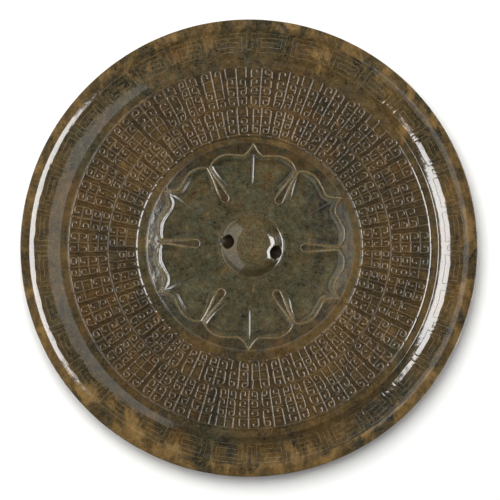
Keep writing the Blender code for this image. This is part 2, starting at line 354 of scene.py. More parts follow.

# %% Patches of slate and of fresh grey-green
# The slate patches just right of the boss make the petals on that side darker.
SLATE = (
    (13, 81, 6, 6, 0.9), (0, 82, 4, 5, 0.5), (-30, 68, 6, 4, 0.4), (-62, 62, 4, 4, 0.5),
    (-45, 35, 10, 10, 0.4), (40, 45, 10, 8, 0.5), (55, 20, 10, 20, 0.35), (52, -66, 10, 9, 1.0),
    (62, -56, 9, 9, 1.0), (44, -76, 7, 5, 0.9), (71, -46, 7, 8, 0.9), (81, -31, 6, 8, 0.8),
    (33, -76, 3, 6, 0.5), (-8, -78, 6, 5, 0.8), (28, 14, 6, 9, 0.9), (0, 42, 10, 3, 0.6),
    (0, -41, 10, 3, 0.6), (-89, -17, 3, 6, 0.7), (-83, -35, 3, 8, 0.5), (50, -45, 6, 6, 0.4),
    (20, -74, 5, 4, 0.5), (40, 78, 5, 6, 0.6), (-72, -48, 3, 4, 0.6), (31, 4, 6, 9, 0.8),
    (25, -8, 6, 6, 0.5), (27, 22, 6, 5, 0.7), (20, 32, 4, 3, 0.4), (-22, 28, 4, 5, 0.4),
    (-34, 2, 5, 4, 0.4), (14, 28, 6, 4, 0.4), (6, 76, 14, 3, 0.5), (-40, 62, 4, 6, 0.3),
)
FRESH = (
    (-70, 2, 5, 5, 0.7), (45, 66, 9, 7, 0.5), (36, -58, 9, 12, 0.4), (-30, 66, 8, 7, 0.4),
    (0, 78, 5, 7, 0.6), (14, 82, 6, 6, 0.3), (-10, -74, 10, 5, 0.7), (58, -40, 9, 12, 0.5),
    (-76, -20, 4, 20, 0.5), (-66, 40, 6, 9, 0.5), (72, 8, 4, 16, 0.6), (-42, 2, 3, 16, 0.7),
    (42, 6, 3, 16, 0.7),
)


def painted(patches, x, y):
    """A painted layer at places x and y in mm: the strongest patch that reaches there."""
    bent_x = x + 1.4 * np.sin(0.33 * y + 0.7) + 0.7 * np.sin(0.81 * y + 2.0)
    bent_y = y + 2.2 * np.sin(0.29 * x + 1.1) + 1.1 * np.sin(0.74 * x + 0.4)
    layer = np.zeros_like(x)
    for middle_x, middle_y, half_width, half_height, strength in patches:
        away = ((bent_x - middle_x) / half_width) ** 2 + ((bent_y - middle_y) / half_height) ** 2
        layer = np.maximum(layer, strength * np.exp(-0.7 * away ** 1.3))
    return layer


print(len(SLATE), "slate and", len(FRESH), "fresh patches")

# %% [markdown]
# ## Turning a ring
# Every ring starts as its cross-section, a few points joined by edges, and `spin` turns that
# round the axis, as a lathe would. Each step of a spin takes longer the more there already is,
# so two thousand steps in one go would be slow. A narrow wedge is spun first, and a second spin
# sets copies of it side by side, once round. Merging doubles then closes the ring.
# The carving is done by moving vertices: their radius, turn and height are read into arrays,
# changed, and written back. That is sculpting with a formula.

# %% Helpers for rings


def spin_section(section, columns, wedges, closed):
    """Turns a cross-section, a list of (radius, height) in mm, once round the axis."""
    bm = bmesh.new()
    points = [bm.verts.new((radius * MM, 0.0, height * MM)) for radius, height in section]
    lines = [bm.edges.new(pair) for pair in zip(points, points[1:])]
    if closed:
        lines.append(bm.edges.new((points[-1], points[0])))
    wedge = math.tau / wedges
    bmesh.ops.spin(
        bm, geom=points + lines, cent=(0, 0, 0), axis=(0, 0, 1), angle=wedge, steps=columns // wedges
    )
    bmesh.ops.spin(
        bm, geom=bm.verts[:] + bm.edges[:] + bm.faces[:], cent=(0, 0, 0), axis=(0, 0, 1),
        angle=math.tau - wedge, steps=wedges - 1, use_duplicate=True,
    )
    return bm


def finish_mesh(bm, name):
    """Merges what coincides, turns the faces outwards and makes the mesh."""
    bmesh.ops.remove_doubles(bm, verts=bm.verts, dist=1e-6)
    bmesh.ops.recalc_face_normals(bm, faces=bm.faces)
    return mesh_from(bm, name)


def read_places(mesh):
    """Radius in mm, turn in radians and height in mm of each vertex."""
    flat = np.empty(len(mesh.vertices) * 3, dtype=np.float32)
    mesh.vertices.foreach_get("co", flat)
    x, y, z = flat.astype(float).reshape(-1, 3).T / MM
    return np.hypot(x, y), np.arctan2(-x, y), z


def across_and_up(radius, turn):
    """x and y of a place, in mm, from its radius and turn."""
    return -radius * np.sin(turn), radius * np.cos(turn)


def write_places(mesh, radius, turn, height):
    """Puts each vertex at a radius, turn and height."""
    flat = np.stack([*across_and_up(radius, turn), height], axis=1) * MM
    mesh.vertices.foreach_set("co", flat.astype(np.float32).ravel())
    mesh.update()


def paint(mesh, layer, values):
    """Stores a painted layer on the mesh, one number for each vertex."""
    attribute = mesh.attributes.new(layer, "FLOAT", "POINT")
    attribute.data.foreach_set("value", np.asarray(values, dtype=np.float32))


def lay_down(mesh, name, crease, **layers):
    """Makes the mesh a piece of the mirror, with the stone's material and its painted layers."""
    radius, turn, height = read_places(mesh)
    x, y = across_and_up(radius, turn)
    for layer, patches in (("tan", TAN), ("rust", RUST), ("slate", SLATE), ("fresh", FRESH)):
        paint(mesh, layer, np.maximum(painted(patches, x, y), layers.get(layer, 0.0)))
    for layer in ("hollow", "pale", "carved"):
        paint(mesh, layer, layers.get(layer, np.zeros_like(x)))
    mesh.materials.append(stone)
    mesh.shade_smooth()
    mesh.set_sharp_from_angle(angle=math.radians(crease))
    piece = put_in_scene(name, mesh)
    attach(piece, "root")
    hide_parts("mirror_disc")
    triangles = sum(len(p.vertices) - 2 for p in mesh.polygons)
    print(name, "has", triangles, "triangles")


def smooth_step(x):
    """0 below 0, 1 above 1, and a smooth S between."""
    x = np.clip(x, 0.0, 1.0)
    return x * x * (3 - 2 * x)


def sway(turn, waves):
    """A slow wobble round the disc: a sum of waves, each (amount, how many round, start)."""
    return sum(amount * np.sin(count * turn + start) for amount, count, start in waves)


# %% [markdown]
# ## Rim
# The rim ring is the body of the mirror: the polished face below, the rounded edge, the flat
# lip, the hollow channel and the plain ring inside it. It also has the shallow recess that the
# other rings lie in. The channel is the arc of a circle, as a wide wheel with a round edge cuts
# it. On the real mirror this is all one cut surface, so one section serves for all of it.

# %% The channel's arc
CORE = 1.5
SHOULDER = 0.15

LIP_END = (LIP_RADIUS, LIP_HEIGHT)
RING_END = (CHANNEL_RADIUS, RING_HEIGHT)
half_chord = math.dist(LIP_END, RING_END) / 2
arc_radius = (half_chord ** 2 + CHANNEL_SAG ** 2) / (2 * CHANNEL_SAG)
lean_out = [(end - start) / (2 * half_chord) for start, end in zip(LIP_END, RING_END)]
arc_middle = (
    (LIP_END[0] + RING_END[0]) / 2 + lean_out[1] * (arc_radius - CHANNEL_SAG),
    (LIP_END[1] + RING_END[1]) / 2 - lean_out[0] * (arc_radius - CHANNEL_SAG),
)


def channel_height(radius):
    """The height of the hollow channel at a radius."""
    from_middle = np.minimum(np.abs(radius - arc_middle[0]), arc_radius)
    return arc_middle[1] - np.sqrt(arc_radius ** 2 - from_middle ** 2)


print("channel ends at", channel_height(LIP_RADIUS), "and", channel_height(CHANNEL_RADIUS))
print("channel's lowest", channel_height(arc_middle[0]), "at radius", arc_middle[0])

# %% [markdown]
# The fret is sixteen pairs of square spirals, cut as single thin lines. Both spirals of a pair
# mirror each other and share one line, so one half is enough to describe it: its corners are
# (distance from the middle of the pair, radius). The lines are scratches a quarter of a
# millimetre wide, finer than the mesh could be all the way round, so the mesh's columns and
# rings are set where the lines run, four to a line. They are cut only about a hundredth of a
# millimetre deep, because deeper ones glint, and so they show mainly by their pale colour.

# %% The fret's lines, in mm
FRET_PAIRS = 16
FRET_MIDDLE = 80.4
FRET_CUT = 0.012
FRET_WIDTH = 0.24
FRET_LINK = 78.2
SPIRAL = (
    (0.0, FRET_LINK), (1.0, FRET_LINK), (1.0, 84.6), (14.5, 84.6), (14.5, 77.3), (2.9, 77.3),
    (2.9, 82.9), (12.8, 82.9), (12.8, 79.3), (4.6, 79.3), (4.6, 81.2), (11.1, 81.2),
)


def with_shoulders(lines, others):
    """Where the mesh needs a column or ring: four for each line, and some between."""
    shoulders = (-FRET_WIDTH / 2, -FRET_WIDTH / 5, FRET_WIDTH / 5, FRET_WIDTH / 2)
    return sorted({round(line + s, 3) for line in lines for s in shoulders} | set(others))


half_pair = math.pi / FRET_PAIRS
between_columns = (0.0, 1.95, 3.75, 5.7, 7.0, 8.3, 9.6, 12.0, 13.6, 15.2)
upright = with_shoulders({x for x, r in SPIRAL if x > 0}, between_columns)
half_turns = np.array(upright) / FRET_MIDDLE
pair_turns = np.concatenate([-half_turns[:0:-1], half_turns])
fret_turns = np.concatenate([pair_turns + 2 * half_pair * i for i in range(FRET_PAIRS)])
fret_turns = np.append(fret_turns, half_pair + 2 * half_pair * np.arange(FRET_PAIRS))
fret_turns = np.sort(np.mod(fret_turns, math.tau))
between_rings = (86.2, 85.7, 85.1, 83.75, 82.0, 80.6, 79.9, 78.7, 76.7, 76.2, 75.6, 75.1)
level = with_shoulders({r for x, r in SPIRAL}, between_rings)
print(len(fret_turns), "columns and", len(level), "rings for the fret")

# %% The rim's section, from the middle of the face out, up and in again
section = [(0.0, 0.0), (30.0, 0.0), (60.0, 0.0)]
quarter = [math.radians(a) for a in (0, 18, 36, 54, 72, 90)]
low, crisp = EDGE_BEVEL, EDGE_BEVEL * 0.4
section += [(DISC_RADIUS - low + low * math.sin(a), low - low * math.cos(a)) for a in quarter]
section += [(DISC_RADIUS, LIP_HEIGHT * 0.35), (DISC_RADIUS, LIP_HEIGHT * 0.65)]
section += [
    (DISC_RADIUS - crisp + crisp * math.cos(a), LIP_HEIGHT - crisp + crisp * math.sin(a))
    for a in quarter
]
section += [(radius, LIP_HEIGHT) for radius in (88.6, 87.9, 87.2, LIP_RADIUS + SHOULDER)]
section += [(LIP_RADIUS, LIP_HEIGHT - 0.02)]
channel = [LIP_RADIUS - SHOULDER] + level[::-1] + [CHANNEL_RADIUS + SHOULDER]
section += [(radius, channel_height(radius)) for radius in channel]
section += [(CHANNEL_RADIUS, RING_HEIGHT - 0.03)]
section += [(radius, RING_HEIGHT) for radius in (CHANNEL_RADIUS - SHOULDER, 73.3, OUTER_FIELD)]
section += [(OUTER_FIELD, CORE), (0.0, CORE)]
rim_mesh = finish_mesh(spin_section(section, len(fret_turns), 16, closed=False), "rim")

# %% Cut the fret


def distance_to_path(x, y, path):
    """How far each place (x, y) is from a path of straight lines."""
    nearest = np.full(x.shape, np.inf)
    for (ax, ay), (bx, by) in zip(path, path[1:]):
        length = math.hypot(bx - ax, by - ay)
        along = np.clip(((x - ax) * (bx - ax) + (y - ay) * (by - ay)) / length ** 2, 0.0, 1.0)
        nearest = np.minimum(nearest, np.hypot(x - ax - along * (bx - ax), y - ay - along * (by - ay)))
    return nearest


radius, turn, height = read_places(rim_mesh)
column = np.round(np.mod(turn, math.tau) / math.tau * len(fret_turns)).astype(int) % len(fret_turns)
turn = fret_turns[column]
in_pair = np.mod(turn + half_pair, 2 * half_pair) - half_pair
in_channel = (radius > CHANNEL_RADIUS) & (radius < LIP_RADIUS) & (height > CORE + 1)
from_line = distance_to_path(np.abs(in_pair) * FRET_MIDDLE, radius, SPIRAL)
fret = np.where(in_channel, 1 - smooth_step((from_line - FRET_WIDTH / 5) / (FRET_WIDTH * 0.3)), 0.0)
height = height - FRET_CUT * fret

# the hand wanders: lines bend and spirals shift by a few tenths of a millimetre
window = np.where(in_channel, np.clip((radius - CHANNEL_RADIUS) * (LIP_RADIUS - radius) / 12, 0, 1), 0.0)
FRET_SPREAD = ((0.0022, 13, 0.4), (0.0014, 29, 2.0), (0.0008, 71, 1.0))
FRET_WANDER = ((0.10, 37, 0.3), (0.08, 61, 1.7), (0.06, 97, 4.0))
turn = turn + window * sway(turn + 0.01 * radius, FRET_SPREAD)
shift = window * sway(turn, FRET_WANDER)
height = height + np.where(in_channel, channel_height(radius + shift) - channel_height(radius), 0.0)
radius = radius + shift
write_places(rim_mesh, radius, turn, height)
on_lip = 1.0 * (radius > LIP_RADIUS - 1)
lay_down(rim_mesh, "rim", 60.0, pale=0.5 * fret, carved=fret, tan=0.52 * on_lip, slate=0.3)

# %% [markdown]
# ## Scrolls
# Two bands of small hooked scrolls in low relief lie between the rim and the flower: four rows
# outside, three inside. They aren't blocks. The carver ran fine grooves beside each line and
# rounded what stood between them, so every line is a thin rounded cord on a lower ground. Each
# group has a straight stem down its middle. Lines cross it between the rows, and hooks grow
# from their ends, curling back to the stem. Small knots stand where a hook ends and where lines
# cross, and catch the light. Wider gaps full of brown part the groups.
# The cords are made as a height map on a fine ring. For each vertex the script asks how far it
# is from the nearest line of its own cell, and raises it by the cord's rounded section. A mesh
# column each 0.2 mm is what it takes to show a cord 0.9 mm wide.

# %% Cords and hooks: points are (share from stem to gap, share from the row's line to the next)
GROUND = 10.33
CORD = FIELD - GROUND
CORD_HALF = 0.46
TIP_HALF = 0.55
TIP_RISE = 0.1
LINE_SHARE = 0.6
GAP_HALF = 0.36
GAP_LOW = 10.16
LINE_END = 0.8
LINE_ODDS = 0.85
TWIN_ODDS = 0.6
TURNED_ODDS = 0.3
HOOK_FOOT = 0.77


def rounded(points, times=3):
    """A path with its corners cut off again and again, until they are round."""
    path = [np.array(p, dtype=float) for p in points]
    for _ in range(times):
        inner = []
        for a, b in zip(path, path[1:]):
            inner += [a * 0.75 + b * 0.25, a * 0.25 + b * 0.75]
        path = [path[0]] + inner[1:-1] + [path[-1]]
    return path


HOOKS = (
    rounded(((HOOK_FOOT, 0.0), (0.77, 0.82), (0.32, 0.82), (0.34, 0.42))),
    rounded(((HOOK_FOOT, 0.0), (0.77, 0.82), (0.30, 0.84), (0.31, 0.30), (0.56, 0.34))),
    rounded(((HOOK_FOOT, 0.0), (0.79, 0.80), (0.36, 0.80), (0.37, 0.55))),
    rounded(((0.34, 0.30), (0.76, 0.20), (0.78, 0.84), (0.32, 0.82), (0.33, 0.58))),
    rounded(((HOOK_FOOT, 0.0), (0.77, 0.98))),
)
HOOK_ODDS = (0.34, 0.34, 0.16, 0.09, 0.07)
print("points in each hook:", [len(h) for h in HOOKS])

# %% A band's relief


def cord_section(distance, half=CORD_HALF):
    """The rounded section of a cord: 1 on its crest and 0 at its foot."""
    return 0.5 + 0.5 * np.cos(np.pi * np.clip(distance / half, 0.0, 1.0))


def band_relief(radius, turn, inner, row_width, rows, groups, seed):
    """Height and brown of a band of scrolls, whose rows start at the radius inner."""
    dice = np.random.default_rng(seed)
    middle = inner + rows * row_width / 2
    half = math.pi * middle / groups
    group = np.floor(turn * groups / math.tau).astype(int) % groups
    across = np.mod(turn * groups / math.tau, 1.0) * 2 - 1
    side = (across > 0).astype(int)
    s = np.abs(across)
    bent = np.sin(np.clip((radius - inner) / (rows * row_width), 0.0, 1.0) * math.pi)
    from_start = radius - inner + 0.45 * (dice.random(groups)[group] - 0.5) * bent
    row = np.clip((from_start // row_width).astype(int), 0, rows - 1)
    t = from_start / row_width - row

    # each cell has its own hook, which grows up from the line below it or down from the line above
    pick = dice.choice(len(HOOKS), size=(groups, rows, 2), p=HOOK_ODDS)
    same = dice.random((groups, rows)) < TWIN_ODDS
    pick[..., 1] = np.where(same, pick[..., 0], pick[..., 1])
    up = np.zeros((groups, rows, 2), dtype=bool)
    crossing = dice.integers(1, rows, size=groups)
    for r in range(rows):
        up[:, r, :] = (r >= crossing)[:, None]
    lone = dice.random((groups, rows)) < TURNED_ODDS
    for r in range(1, rows - 1):
        up[:, r, :] ^= lone[:, r][:, None]
    up[:, 0, :] = False
    up[:, rows - 1, :] = True
    nudge = dice.uniform(-1.0, 1.0, size=(groups, rows, 2, 3))

    cell = (group, row, side)
    grow = np.where(up[cell], t, 1 - t)
    hook_s = s + 0.025 * nudge[cell][..., 0] + 0.05 * nudge[cell][..., 2] * (grow - 0.5)
    hook_t = grow + 0.03 * nudge[cell][..., 1] * smooth_step(grow * 3)
    nearest = np.full_like(s, 9.0)
    tip_raised = np.zeros_like(s)
    for kind, hook in enumerate(HOOKS):
        here = pick[cell] == kind
        path = [(x * half, y * row_width) for x, y in hook]
        away = distance_to_path(hook_s[here] * half, hook_t[here] * row_width, path)
        tip = np.hypot(hook_s[here] * half - path[-1][0], hook_t[here] * row_width - path[-1][1])
        nearest[here] = np.minimum(away, tip - 0.14)
        tip_raised[here] = TIP_RISE * cord_section(tip, TIP_HALF)

    # the stem, and the lines between the rows, from gap to gap
    nearest = np.minimum(nearest, s * half)
    from_row = np.minimum(t, 1 - t) * row_width
    past_end = np.maximum(s - LINE_END, 0.0) * half
    line = np.clip(row + np.round(t).astype(int), 0, rows)
    has_line = dice.random((groups, rows + 1, 2)) < LINE_ODDS
    has_line[:, (0, rows)] = False
    from_line = np.where(has_line[group, line, side], np.hypot(from_row, past_end), 9.0)
    from_knot = np.hypot(np.minimum(s, np.abs(s - HOOK_FOOT)) * half, from_row)
    knots = np.where((line > 0) & (line < rows), TIP_RISE * cord_section(from_knot, TIP_HALF), 0.0)
    raised = np.maximum(cord_section(nearest), LINE_SHARE * cord_section(from_line))
    relief = GROUND + CORD * raised + np.maximum(tip_raised, knots)
    nearest = np.minimum(nearest, from_line)
    crevice = np.exp(-((nearest - 0.52) / 0.17) ** 2)

    # the gap between groups
    from_gap = (1 - s) * half
    how_wide = 0.35 + 0.65 * dice.random(groups)[(group + side) % groups]
    gap = (1 - smooth_step((from_gap - 0.22) / (GAP_HALF - 0.05))) * how_wide
    relief = np.minimum(relief, GROUND) * gap + relief * (1 - gap) - (GROUND - GAP_LOW) * gap
    low = np.clip((FIELD - 0.04 - relief) / (FIELD - GROUND), 0.0, 1.0)
    brown = np.clip(0.18 * low + 0.62 * crevice + 0.34 * gap, 0.0, 0.85)
    stem_notch = 1 - smooth_step((s * half - 0.15) / 0.45)
    gap_notch = 1 - smooth_step((from_gap - 0.2) / 0.45)
    return relief, brown, stem_notch, gap_notch


def bordered(radius, relief, brown, edge, inwards, width, knee, notch):
    """Adds the wall at a band's border and the narrow cord that frames it, with notches."""
    from_edge = (edge - radius) * inwards
    top = FIELD - 0.3 * notch
    climb = np.interp(from_edge / width, (0.0, knee[0], 1.0), (0.0, knee[1], 1.0))
    wall = RING_HEIGHT + (top - RING_HEIGHT) * climb
    frame_cord = GROUND + (top - GROUND) * cord_section(np.maximum(from_edge - width, 0.0), 0.5)
    relief = np.where(from_edge < width + 0.25, frame_cord, np.maximum(relief, frame_cord))
    relief = np.where(from_edge < width, wall, relief)
    brown = np.where(from_edge < width, 0.5 * notch, brown * smooth_step((from_edge - width) / 0.5))
    return relief, brown


# %% [markdown]
# The bands are cut into three rings, because a piece should stay under 200,000 triangles. They
# meet on the crest of a line between rows, where both have the same height. The groups aren't
# all as wide as each other on the real mirror, and the rows wander, so the finished relief is
# swayed a little round the disc and in and out. The cord that parts the bands is rubbed dull,
# because polished it draws a bright ring that the photograph doesn't show.

# %% Carve the bands
INNER_KNEE = (0.27, 0.45)
OUTER_KNEE = (0.75, 0.87)
OUTER_BAND = {"inner": DIVIDE + 0.1, "row_width": 3.83, "rows": 4, "groups": 43, "seed": 5}
INNER_BAND = {"inner": INNER_FIELD + 1.2, "row_width": 3.55, "rows": 3, "groups": 36, "seed": 8}
SPREAD = ((0.0060, 9, 0.5), (0.0034, 17, 2.1), (0.0026, 29, 4.4), (0.0016, 53, 1.3))
WANDER = ((0.10, 23, 0.2), (0.08, 41, 1.1), (0.05, 67, 3.0))


def scroll_ring(name, inner, outer, rings, columns, borders=()):
    """A ring of the scroll field, from its section to a finished piece."""
    even = [r for r in np.linspace(inner, outer, rings + 1) if all(abs(r - b) > 0.07 for b in borders)]
    top = [(radius, FIELD) for radius in sorted(even + list(borders), reverse=True)]
    section = [(inner, CORE), (outer, CORE)] + top
    mesh = finish_mesh(spin_section(section, columns, 16, closed=True), name)
    radius, turn, height = read_places(mesh)
    on_top = height > CORE + 1
    relief, brown, stem_notch, _ = band_relief(radius, turn, **OUTER_BAND)
    inner_relief, inner_brown, inner_stem, inner_gap = band_relief(radius, turn, **INNER_BAND)
    in_inner = radius < DIVIDE
    relief = np.where(in_inner, inner_relief, relief)
    brown = np.where(in_inner, inner_brown, brown)
    line = GROUND + CORD * cord_section(np.abs(radius - DIVIDE), 0.5)
    brown = brown * smooth_step(np.abs(radius - DIVIDE) / 0.5)
    relief = np.maximum(relief, line)
    relief, brown = bordered(
        radius, relief, brown, OUTER_FIELD, 1, OUTER_WALL, OUTER_KNEE, 0.5 * stem_notch
    )
    both_notches = np.maximum(0.4 * inner_stem, inner_gap)
    relief, brown = bordered(
        radius, relief, brown, INNER_FIELD, -1, INNER_WALL, INNER_KNEE, both_notches
    )
    crest = smooth_step((relief - GROUND) / CORD * 2 - 1)
    wall = (OUTER_FIELD - radius < OUTER_WALL) | (radius - INNER_FIELD < INNER_WALL)
    low = np.clip((FIELD - relief) / CORD, 0.0, 1.0)
    past_border = smooth_step((radius - INNER_FIELD - INNER_WALL - 0.1) / 0.4)
    in_field = (0.2 + 0.8 * low) * (0.45 + 0.55 * past_border)
    carved = np.where(wall, 0.8 * both_notches * in_inner, in_field)
    on_divide = 1 - smooth_step((np.abs(radius - DIVIDE) - 0.3) / 0.4)
    carved = np.where(on_top, np.maximum(carved, 0.75 * on_divide), 0.0)
    crest = crest * (1 - on_divide)
    height = np.where(on_top, relief, height)
    band = np.where(
        in_inner, (DIVIDE - radius) / (DIVIDE - INNER_FIELD), (radius - DIVIDE) / (OUTER_FIELD - DIVIDE)
    )
    band = np.clip(band, 0, 1)
    inner_phase = np.where(in_inner, 1.3, 0.0)
    turn = turn + sway(turn + inner_phase, SPREAD) * np.minimum(1.0, 6 * band)
    radius = radius + np.sin(math.pi * band) * sway(turn + 0.02 * radius, WANDER)
    write_places(mesh, radius, turn, height)
    lay_down(
        mesh, name, 70.0, hollow=np.where(on_top, brown, 0.0),
        pale=np.where(on_top & ~wall, 0.14 * crest, 0.0), carved=carved, rust=0.35, slate=0.32,
    )


MIDWAY = OUTER_BAND["inner"] + 2 * OUTER_BAND["row_width"]
scroll_ring("scrolls_outer", MIDWAY, OUTER_FIELD, 44, 2048)
scroll_ring("scrolls_middle", DIVIDE, MIDWAY, 42, 2048)
near_border = [INNER_FIELD + d for d in (0.11, INNER_KNEE[0] * INNER_WALL, 0.46, INNER_WALL, 0.95)]
scroll_ring("scrolls_inner", INNER_FIELD, DIVIDE, 53, 1664, near_border)

# %% [markdown]
# ## Flower
# The flower fills a round well with gently sloping walls. Each of its six petals is a shallow
# dish inside a raised lip. The lip comes to a point at the well's edge, where a thin ridge runs
# in from it. Between two petals the lips turn inwards and run side by side, and a flat drop lies
# between their ends, as a stamen does. The carver cut down along the outline with the edge of a
# wheel, which leaves a crisp line outside the lip, and then rolled the lip's inner side over
# into the dish. The mesh's rings follow the petals' outline, so its edge lies along edges of
# the mesh and doesn't go up in steps. A low collar runs round the foot of the boss.

# %% Sizes of the flower, in mm, and where the six tips point, in degrees clockwise from the top
PETAL_TIPS = (1.7, 61.7, 120.4, 180.9, 243.4, 303.0)
PETAL_OUTLINE = (
    (0.0, 0.4), (0.09, 3.1), (0.2, 4.7), (0.38, 4.2), (0.62, 3.3), (0.82, 4.0), (0.94, 5.4), (1.0, 6.5),
)
FLOWER_MIDDLE = (0.45, 0.6)
WELL_WALL = (
    (0.0, 2.3), (2.5, 1.65), (5.4, 0.9), (6.8, 0.61), (9.0, 0.28), (11.5, 0.06), (13.5, 0.0),
    (40.0, 0.0),
)
WELL_CHAMFER = 0.16
LIP_TOP = 1.45
LIP_INNER = 2.08
LIP_RISE = 0.26
LIP_FOOT = 0.35
VEIN_LENGTH = 18.0
VEIN_RISE = 0.3
DROP_NECK = (34.4, 0.28)
DROP_BULB = (21.5, 1.65)
DROP_RISE = 0.22
DROP_GROOVE = 0.42
BOSS_RADIUS = 13.0
BOSS_MIDDLE = (0.75, 0.95)
BOSS_COLLAR = (0.6, 0.16)

# %% The petal's curves


def through(knots, x):
    """Values at x on a smooth curve through knots of (x, value)."""
    at, value = np.array(knots).T
    i = np.clip(np.searchsorted(at, x, side="right") - 1, 0, len(at) - 2)
    before, beyond = np.maximum(i - 1, 0), np.minimum(i + 2, len(at) - 1)
    step = at[i + 1] - at[i]
    leave = step * (value[i + 1] - value[before]) / (at[i + 1] - at[before])
    arrive = step * (value[beyond] - value[i]) / (at[beyond] - at[i])
    t = (x - at[i]) / step
    rise = (value[i + 1] - value[i]) * (3 * t ** 2 - 2 * t ** 3)
    return value[i] + rise + leave * (t - 2 * t ** 2 + t ** 3) + arrive * (t ** 3 - t ** 2)


def petal_edge(share):
    """The radius of a petal's outline at a share of the turn from its tip to the notch."""
    return WELL_RADIUS - through(PETAL_OUTLINE, share)


def drop_half(along):
    """Half the width of the drop and its neck at a distance from the disc's middle."""
    share = np.clip((along - DROP_BULB[0]) / (DROP_NECK[0] - DROP_BULB[0]), 0.0, 1.0)
    return DROP_NECK[1] + (DROP_BULB[1] - DROP_NECK[1]) * (1 - share) ** 2.2 * (1 + 1.2 * share)


def well_height(radius):
    """The height of the well's wall, and of its floor further in."""
    from_wall = np.maximum(WELL_RADIUS - radius, 0.0)
    chamfer = 1 - smooth_step(from_wall / WELL_CHAMFER)
    return FLOOR + through(WELL_WALL, from_wall) + (WELL_DEPTH - WELL_WALL[0][1]) * chamfer


print("petal edge at tip, shoulder, notch:", np.round(petal_edge(np.array([0.0, 0.62, 1.0])), 2))

# %% The flower's ring: its rings follow the outline
FLOWER_COLUMNS = 900
NOMINAL = (BOSS_RADIUS, 31.7, 33.9, 34.3, WELL_RADIUS - WELL_CHAMFER, WELL_RADIUS, INNER_FIELD)
STEPS = (60, 12, 3, 12, 3, 4)
spans = zip(NOMINAL, NOMINAL[1:], STEPS)
nominal_rings = np.concatenate(
    [np.linspace(a, b, n, endpoint=False) for a, b, n in spans] + [[INNER_FIELD]]
)
flower_section = [(BOSS_RADIUS, CORE), (INNER_FIELD, CORE)] + [(r, FIELD) for r in nominal_rings[::-1]]
flower_mesh = finish_mesh(spin_section(flower_section, FLOWER_COLUMNS, 12, closed=True), "flower")
radius, turn, height = read_places(flower_mesh)
on_top = height > CORE + 1

# turn each column so that the tips are where this flower has them
clockwise = np.mod(-turn, math.tau)
even = np.radians(np.arange(7) * 60.0)
real = np.radians(np.array(PETAL_TIPS + (PETAL_TIPS[0] + 360,)))
in_flower = np.interp(clockwise, even, real) * -1.0
share = np.abs(np.mod(clockwise + math.pi / 6, math.pi / 3) - math.pi / 6) / (math.pi / 6)

# %% Place the rings
ahead = np.minimum(share + 0.01, 1.0)
behind = np.maximum(share - 0.01, 0.0)
slope = (petal_edge(ahead) - petal_edge(behind)) / ((ahead - behind) * math.pi / 6 * 36)
slant = np.minimum(np.sqrt(1 + slope ** 2), 1.8)
edge = petal_edge(share)
boss_x, boss_y = BOSS_MIDDLE[0] - FLOWER_MIDDLE[0], BOSS_MIDDLE[1] - FLOWER_MIDDLE[1]
toward_boss = boss_x * -np.sin(in_flower) + boss_y * np.cos(in_flower)
beside_boss = boss_x * np.cos(in_flower) + boss_y * np.sin(in_flower)
boss_edge = toward_boss + np.sqrt(BOSS_RADIUS ** 2 - beside_boss ** 2)
chamfer_foot = WELL_RADIUS - WELL_CHAMFER
foot = np.minimum(edge + LIP_FOOT * slant, chamfer_foot - 0.1)
edge = np.minimum(edge, foot - 0.05)
plain = [np.full_like(edge, stop) for stop in (chamfer_foot, WELL_RADIUS, INNER_FIELD)]
stops = np.stack([boss_edge, edge - LIP_INNER * slant, edge, foot] + plain)
zone = np.clip(np.searchsorted(NOMINAL, radius, side="right") - 1, 0, len(NOMINAL) - 2)
within = (radius - np.array(NOMINAL)[zone]) / np.diff(NOMINAL)[zone]
vertex = np.arange(len(radius))
placed = stops[zone, vertex] * (1 - within) + stops[zone + 1, vertex] * within
placed = np.where(radius <= BOSS_RADIUS + 1e-3, boss_edge, placed)

# %% How far each place is from the petal's outline, which runs on beside the drop
outline_share = np.linspace(0.0, 0.95, 130)
outline_turn = (1 - outline_share) * math.pi / 6
outline_radius = petal_edge(outline_share)
outline = [outline_radius * np.cos(outline_turn), outline_radius * np.sin(outline_turn)]
tail_along = np.linspace(DROP_NECK[0], DROP_BULB[0] - 0.6, 90)
outline = np.concatenate([outline, [tail_along, drop_half(tail_along) + DROP_GROOVE]], axis=1)
along = placed * np.cos((1 - share) * math.pi / 6)
beside = placed * np.sin((1 - share) * math.pi / 6)
from_edge = np.empty_like(along)
BATCH = 8000
for start in range(0, len(along), BATCH):
    some = slice(start, start + BATCH)
    away = np.hypot(along[some, None] - outline[0], beside[some, None] - outline[1])
    from_edge[some] = away.min(axis=1)
between_tails = (along < 35.2) & (along > DROP_BULB[0] - 2.2) & (beside < drop_half(along) + DROP_GROOVE)
inside_petal = (placed < edge) & ~between_tails
print("farthest from the outline:", round(float(from_edge.max()), 1), "mm")

# %% Carve the petals' lips: they narrow towards the notch, where they run in beside the drop
well = well_height(placed)
narrow = 1 - 0.72 * smooth_step((share - 0.72) / 0.26)
tail_fade = smooth_step((along - DROP_BULB[0] + 0.6) / 7.0)
fall = np.clip((from_edge - LIP_TOP * narrow) / ((LIP_INNER - LIP_TOP) * (0.4 + 0.6 * narrow)), 0.0, 1.0)
roll = 1 - (fall + smooth_step(fall)) / 2
flank = 1 - smooth_step(from_edge / LIP_FOOT)
groove = -0.14 * smooth_step(from_edge / LIP_FOOT) * (1 - smooth_step((from_edge - LIP_FOOT) / 0.9))
lip = LIP_RISE * np.where(inside_petal, roll, flank) * tail_fade
lip = lip * smooth_step((WELL_RADIUS - placed) / 0.9)
lip = lip + np.where(inside_petal, 0.0, groove * smooth_step((chamfer_foot - placed) / 1.0))

